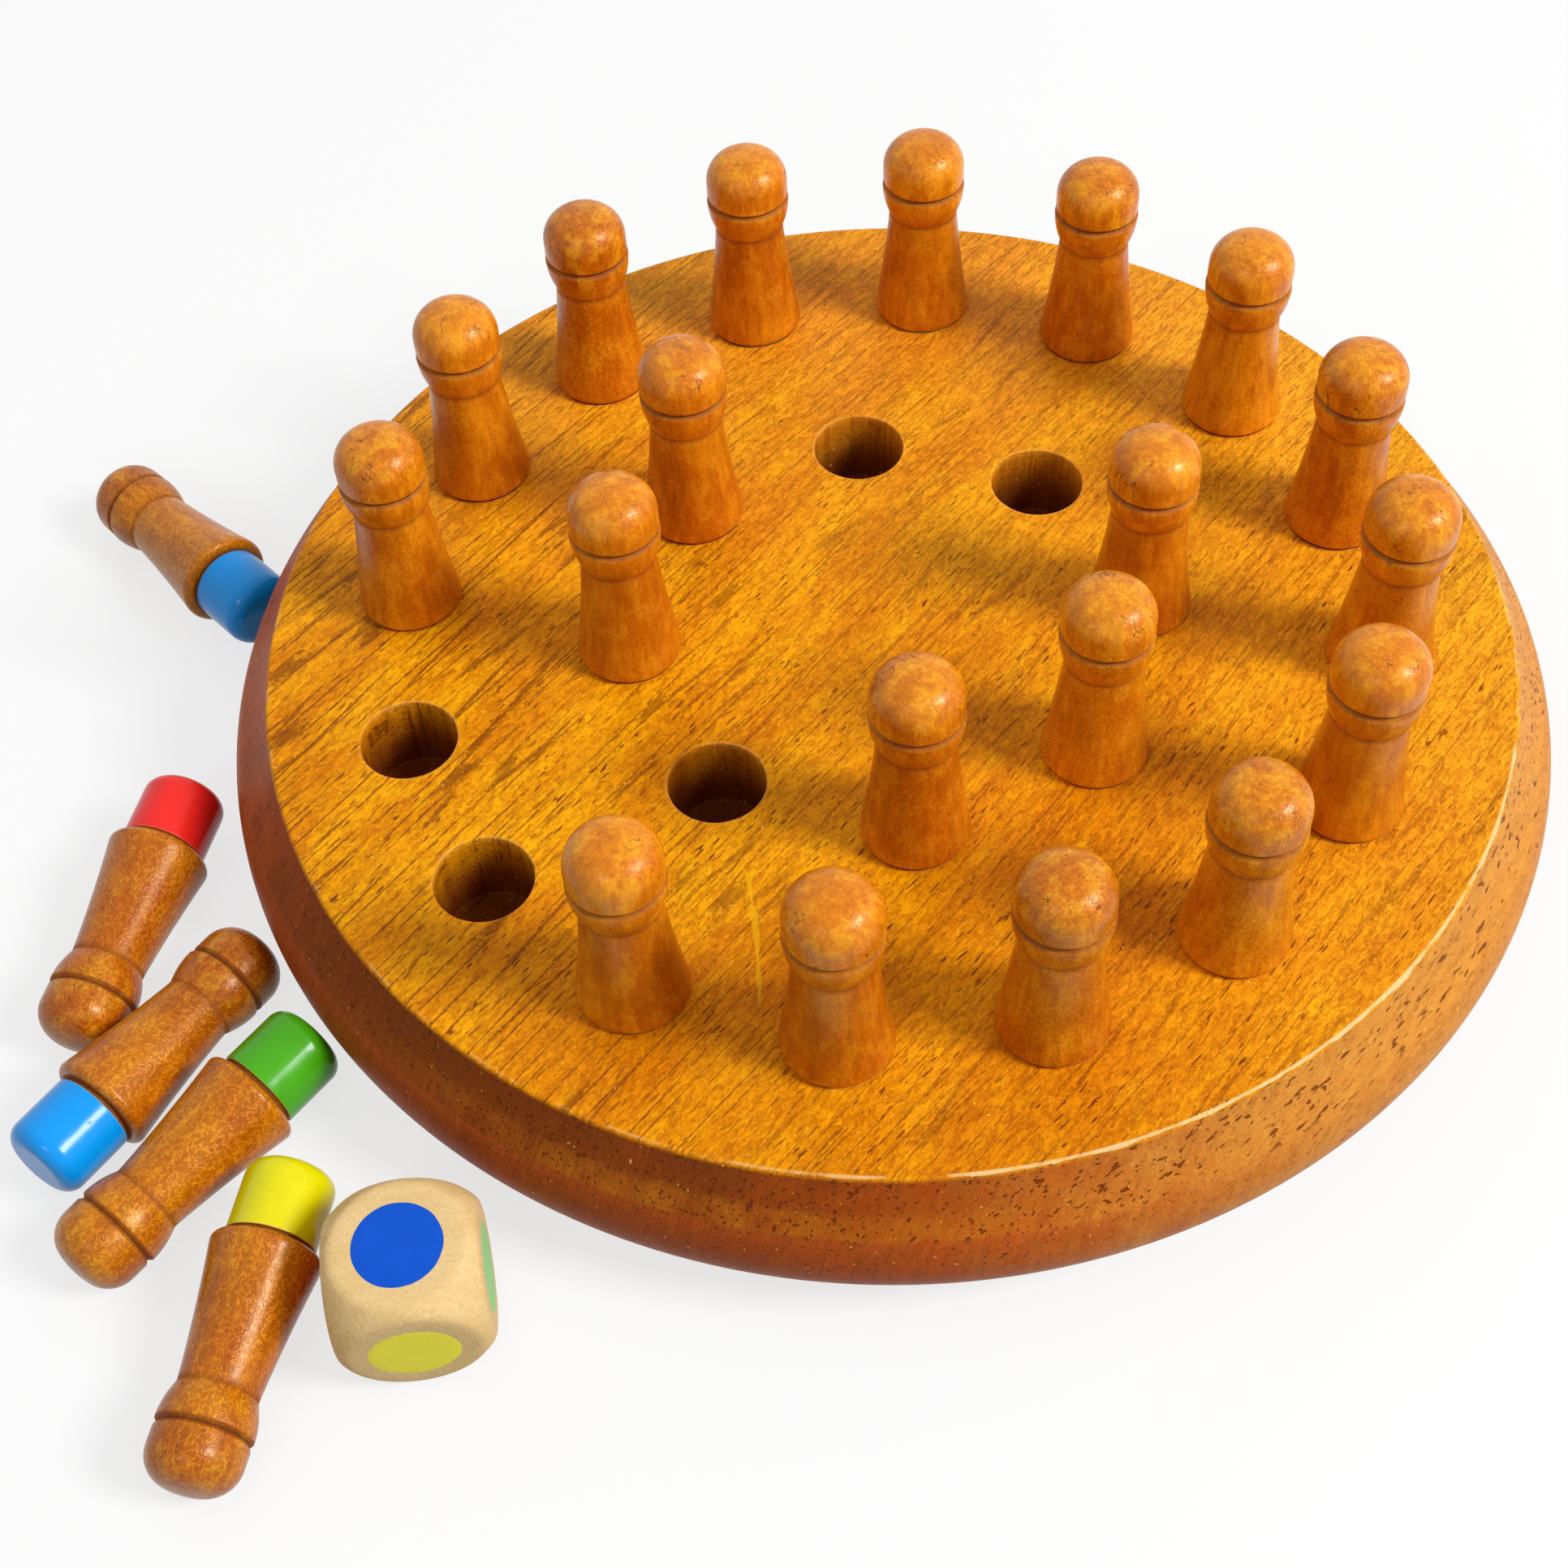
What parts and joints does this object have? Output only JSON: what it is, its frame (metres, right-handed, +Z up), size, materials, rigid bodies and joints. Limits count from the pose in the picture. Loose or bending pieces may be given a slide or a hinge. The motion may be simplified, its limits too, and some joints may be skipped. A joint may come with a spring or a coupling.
{
  "type": "wooden memory game",
  "caption": "Round bevelled wooden board with two rings of blind holes, turned skittle-shaped pegs with colour-dipped lower ends, and a colour die.",
  "frame": {"origin": "centre of the board's underside, on the table", "axes": "+Z up out of the holes, +X to the player's right, +Y away from the player"},
  "size_m": [0.2068, 0.1949, 0.054],
  "materials": {
    "board_wood": "satin clear lacquer over oiled, amber hardwood with dark grain streaks",
    "peg_wood": "satin lacquer over turned reddish-brown hardwood",
    "die_wood": "satin lacquer over pale hardwood",
    "red_paint": "gloss enamel dip over wood",
    "blue_paint": "gloss enamel dip over wood",
    "green_paint": "gloss enamel dip over wood",
    "yellow_paint": "gloss enamel dip over wood",
    "orange_paint": "gloss enamel dip over wood",
    "purple_paint": "gloss enamel dip over wood"
  },
  "bodies": {
    "board": {"board": "board_wood"},
    "outer_peg_03": {"outer_peg_03": "peg_wood"},
    "outer_peg_04": {"outer_peg_04": "peg_wood"},
    "outer_peg_05": {"outer_peg_05": "peg_wood"},
    "outer_peg_06": {"outer_peg_06": "peg_wood"},
    "outer_peg_07": {"outer_peg_07": "peg_wood"},
    "outer_peg_08": {"outer_peg_08": "peg_wood"},
    "outer_peg_09": {"outer_peg_09": "peg_wood"},
    "outer_peg_10": {"outer_peg_10": "peg_wood"},
    "outer_peg_11": {"outer_peg_11": "peg_wood"},
    "outer_peg_12": {"outer_peg_12": "peg_wood"},
    "outer_peg_13": {"outer_peg_13": "peg_wood"},
    "outer_peg_14": {"outer_peg_14": "peg_wood"},
    "outer_peg_15": {"outer_peg_15": "peg_wood"},
    "outer_peg_16": {"outer_peg_16": "peg_wood"},
    "inner_peg_02": {"inner_peg_02": "peg_wood"},
    "inner_peg_03": {"inner_peg_03": "peg_wood"},
    "inner_peg_06": {"inner_peg_06": "peg_wood"},
    "inner_peg_07": {"inner_peg_07": "peg_wood"},
    "inner_peg_08": {"inner_peg_08": "peg_wood"},
    "green_peg": {"green_peg": "peg_wood"},
    "blue_peg": {"blue_peg": "peg_wood"},
    "yellow_peg": {"yellow_peg": "peg_wood"},
    "red_peg": {"red_peg": "peg_wood"},
    "spare_blue_peg": {"spare_blue_peg": "peg_wood"},
    "colour_die": {"colour_die": "die_wood"}
  },
  "joints": [
    {"name": "lift_outer_peg_03", "type": "slide", "parent": "board", "child": "outer_peg_03", "axis": [0, 0, 1], "range_m": [0, 0.025]},
    {"name": "lift_outer_peg_04", "type": "slide", "parent": "board", "child": "outer_peg_04", "axis": [0, 0, 1], "range_m": [0, 0.025]},
    {"name": "lift_outer_peg_05", "type": "slide", "parent": "board", "child": "outer_peg_05", "axis": [0, 0, 1], "range_m": [0, 0.025]},
    {"name": "lift_outer_peg_06", "type": "slide", "parent": "board", "child": "outer_peg_06", "axis": [0, 0, 1], "range_m": [0, 0.025]},
    {"name": "lift_outer_peg_07", "type": "slide", "parent": "board", "child": "outer_peg_07", "axis": [0, 0, 1], "range_m": [0, 0.025]},
    {"name": "lift_outer_peg_08", "type": "slide", "parent": "board", "child": "outer_peg_08", "axis": [0, 0, 1], "range_m": [0, 0.025]},
    {"name": "lift_outer_peg_09", "type": "slide", "parent": "board", "child": "outer_peg_09", "axis": [0, 0, 1], "range_m": [0, 0.025]},
    {"name": "lift_outer_peg_10", "type": "slide", "parent": "board", "child": "outer_peg_10", "axis": [0, 0, 1], "range_m": [0, 0.025]},
    {"name": "lift_outer_peg_11", "type": "slide", "parent": "board", "child": "outer_peg_11", "axis": [0, 0, 1], "range_m": [0, 0.025]},
    {"name": "lift_outer_peg_12", "type": "slide", "parent": "board", "child": "outer_peg_12", "axis": [0, 0, 1], "range_m": [0, 0.025]},
    {"name": "lift_outer_peg_13", "type": "slide", "parent": "board", "child": "outer_peg_13", "axis": [0, 0, 1], "range_m": [0, 0.025]},
    {"name": "lift_outer_peg_14", "type": "slide", "parent": "board", "child": "outer_peg_14", "axis": [0, 0, 1], "range_m": [0, 0.025]},
    {"name": "lift_outer_peg_15", "type": "slide", "parent": "board", "child": "outer_peg_15", "axis": [0, 0, 1], "range_m": [0, 0.025]},
    {"name": "lift_outer_peg_16", "type": "slide", "parent": "board", "child": "outer_peg_16", "axis": [0, 0, 1], "range_m": [0, 0.025]},
    {"name": "lift_inner_peg_02", "type": "slide", "parent": "board", "child": "inner_peg_02", "axis": [0, 0, 1], "range_m": [0, 0.025]},
    {"name": "lift_inner_peg_03", "type": "slide", "parent": "board", "child": "inner_peg_03", "axis": [0, 0, 1], "range_m": [0, 0.025]},
    {"name": "lift_inner_peg_06", "type": "slide", "parent": "board", "child": "inner_peg_06", "axis": [0, 0, 1], "range_m": [0, 0.025]},
    {"name": "lift_inner_peg_07", "type": "slide", "parent": "board", "child": "inner_peg_07", "axis": [0, 0, 1], "range_m": [0, 0.025]},
    {"name": "lift_inner_peg_08", "type": "slide", "parent": "board", "child": "inner_peg_08", "axis": [0, 0, 1], "range_m": [0, 0.025]},
    {"name": "lift_green_peg", "type": "slide", "parent": "board", "child": "green_peg", "axis": [0, 0, 1], "range_m": [0, 0.04]},
    {"name": "lift_blue_peg", "type": "slide", "parent": "board", "child": "blue_peg", "axis": [0, 0, 1], "range_m": [0, 0.04]},
    {"name": "lift_yellow_peg", "type": "slide", "parent": "board", "child": "yellow_peg", "axis": [0, 0, 1], "range_m": [0, 0.04]},
    {"name": "lift_red_peg", "type": "slide", "parent": "board", "child": "red_peg", "axis": [0, 0, 1], "range_m": [0, 0.04]},
    {"name": "lift_spare_blue_peg", "type": "slide", "parent": "board", "child": "spare_blue_peg", "axis": [0, 0, 1], "range_m": [0, 0.04]},
    {"name": "lift_colour_die", "type": "slide", "parent": "board", "child": "colour_die", "axis": [0, 0, 1], "range_m": [0, 0.04]}
  ]
}
